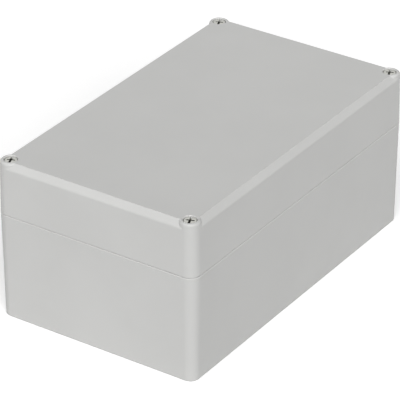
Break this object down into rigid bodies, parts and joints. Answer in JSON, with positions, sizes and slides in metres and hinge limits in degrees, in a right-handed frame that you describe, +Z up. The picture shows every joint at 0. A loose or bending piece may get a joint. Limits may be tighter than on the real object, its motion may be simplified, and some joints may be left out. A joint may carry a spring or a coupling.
{
  "type": "plastic project box",
  "caption": "Sealed plastic enclosure for electronics: a moulded base with board posts and a deep lid held by captive screws in the corners.",
  "frame": {"origin": "middle of the underside that the box stands on", "axes": "+X along the long walls, +Y across them, +Z upwards through the lid"},
  "size_m": [0.2, 0.12, 0.09],
  "materials": {
    "housing_plastic": "fine moulded texture",
    "seal_rubber": "smooth",
    "screw_steel": "bright",
    "ring_plastic": "natural",
    "insert_brass": "turned"
  },
  "bodies": {
    "base": {"base": "housing_plastic", "insert_front_left": "insert_brass", "insert_front_right": "insert_brass", "insert_back_right": "insert_brass", "insert_back_left": "insert_brass"},
    "lid": {"lid": "housing_plastic", "gasket": "seal_rubber"},
    "ring_front_left": {"ring_front_left": "ring_plastic"},
    "screw_front_left": {"screw_front_left": "screw_steel"},
    "ring_front_right": {"ring_front_right": "ring_plastic"},
    "screw_front_right": {"screw_front_right": "screw_steel"},
    "ring_back_right": {"ring_back_right": "ring_plastic"},
    "screw_back_right": {"screw_back_right": "screw_steel"},
    "ring_back_left": {"ring_back_left": "ring_plastic"},
    "screw_back_left": {"screw_back_left": "screw_steel"}
  },
  "joints": [
    {"name": "lid_lift", "type": "slide", "parent": "base", "child": "lid", "axis": [0, 0, 1], "range_m": [0, 0.08]},
    {"name": "ring_rise_front_left", "type": "slide", "parent": "lid", "child": "ring_front_left", "axis": [0, 0, 1], "range_m": [0, 0.00945]},
    {"name": "screw_turn_front_left", "type": "hinge", "parent": "ring_front_left", "child": "screw_front_left", "pos_m": [-0.094, -0.054, 0.0895], "axis": [0, 0, 1], "range_deg": [0, 4861]},
    {"name": "ring_rise_front_right", "type": "slide", "parent": "lid", "child": "ring_front_right", "axis": [0, 0, 1], "range_m": [0, 0.00945]},
    {"name": "screw_turn_front_right", "type": "hinge", "parent": "ring_front_right", "child": "screw_front_right", "pos_m": [0.094, -0.054, 0.0895], "axis": [0, 0, 1], "range_deg": [0, 4861]},
    {"name": "ring_rise_back_right", "type": "slide", "parent": "lid", "child": "ring_back_right", "axis": [0, 0, 1], "range_m": [0, 0.00945]},
    {"name": "screw_turn_back_right", "type": "hinge", "parent": "ring_back_right", "child": "screw_back_right", "pos_m": [0.094, 0.054, 0.0895], "axis": [0, 0, 1], "range_deg": [0, 4861]},
    {"name": "ring_rise_back_left", "type": "slide", "parent": "lid", "child": "ring_back_left", "axis": [0, 0, 1], "range_m": [0, 0.00945]},
    {"name": "screw_turn_back_left", "type": "hinge", "parent": "ring_back_left", "child": "screw_back_left", "pos_m": [-0.094, 0.054, 0.0895], "axis": [0, 0, 1], "range_deg": [0, 4861]}
  ],
  "couplings": [
    {"joint": "screw_turn_front_left", "follows": "ring_rise_front_left", "rad_per_m": 8976},
    {"joint": "screw_turn_front_right", "follows": "ring_rise_front_right", "rad_per_m": 8976},
    {"joint": "screw_turn_back_right", "follows": "ring_rise_back_right", "rad_per_m": 8976},
    {"joint": "screw_turn_back_left", "follows": "ring_rise_back_left", "rad_per_m": 8976}
  ]
}
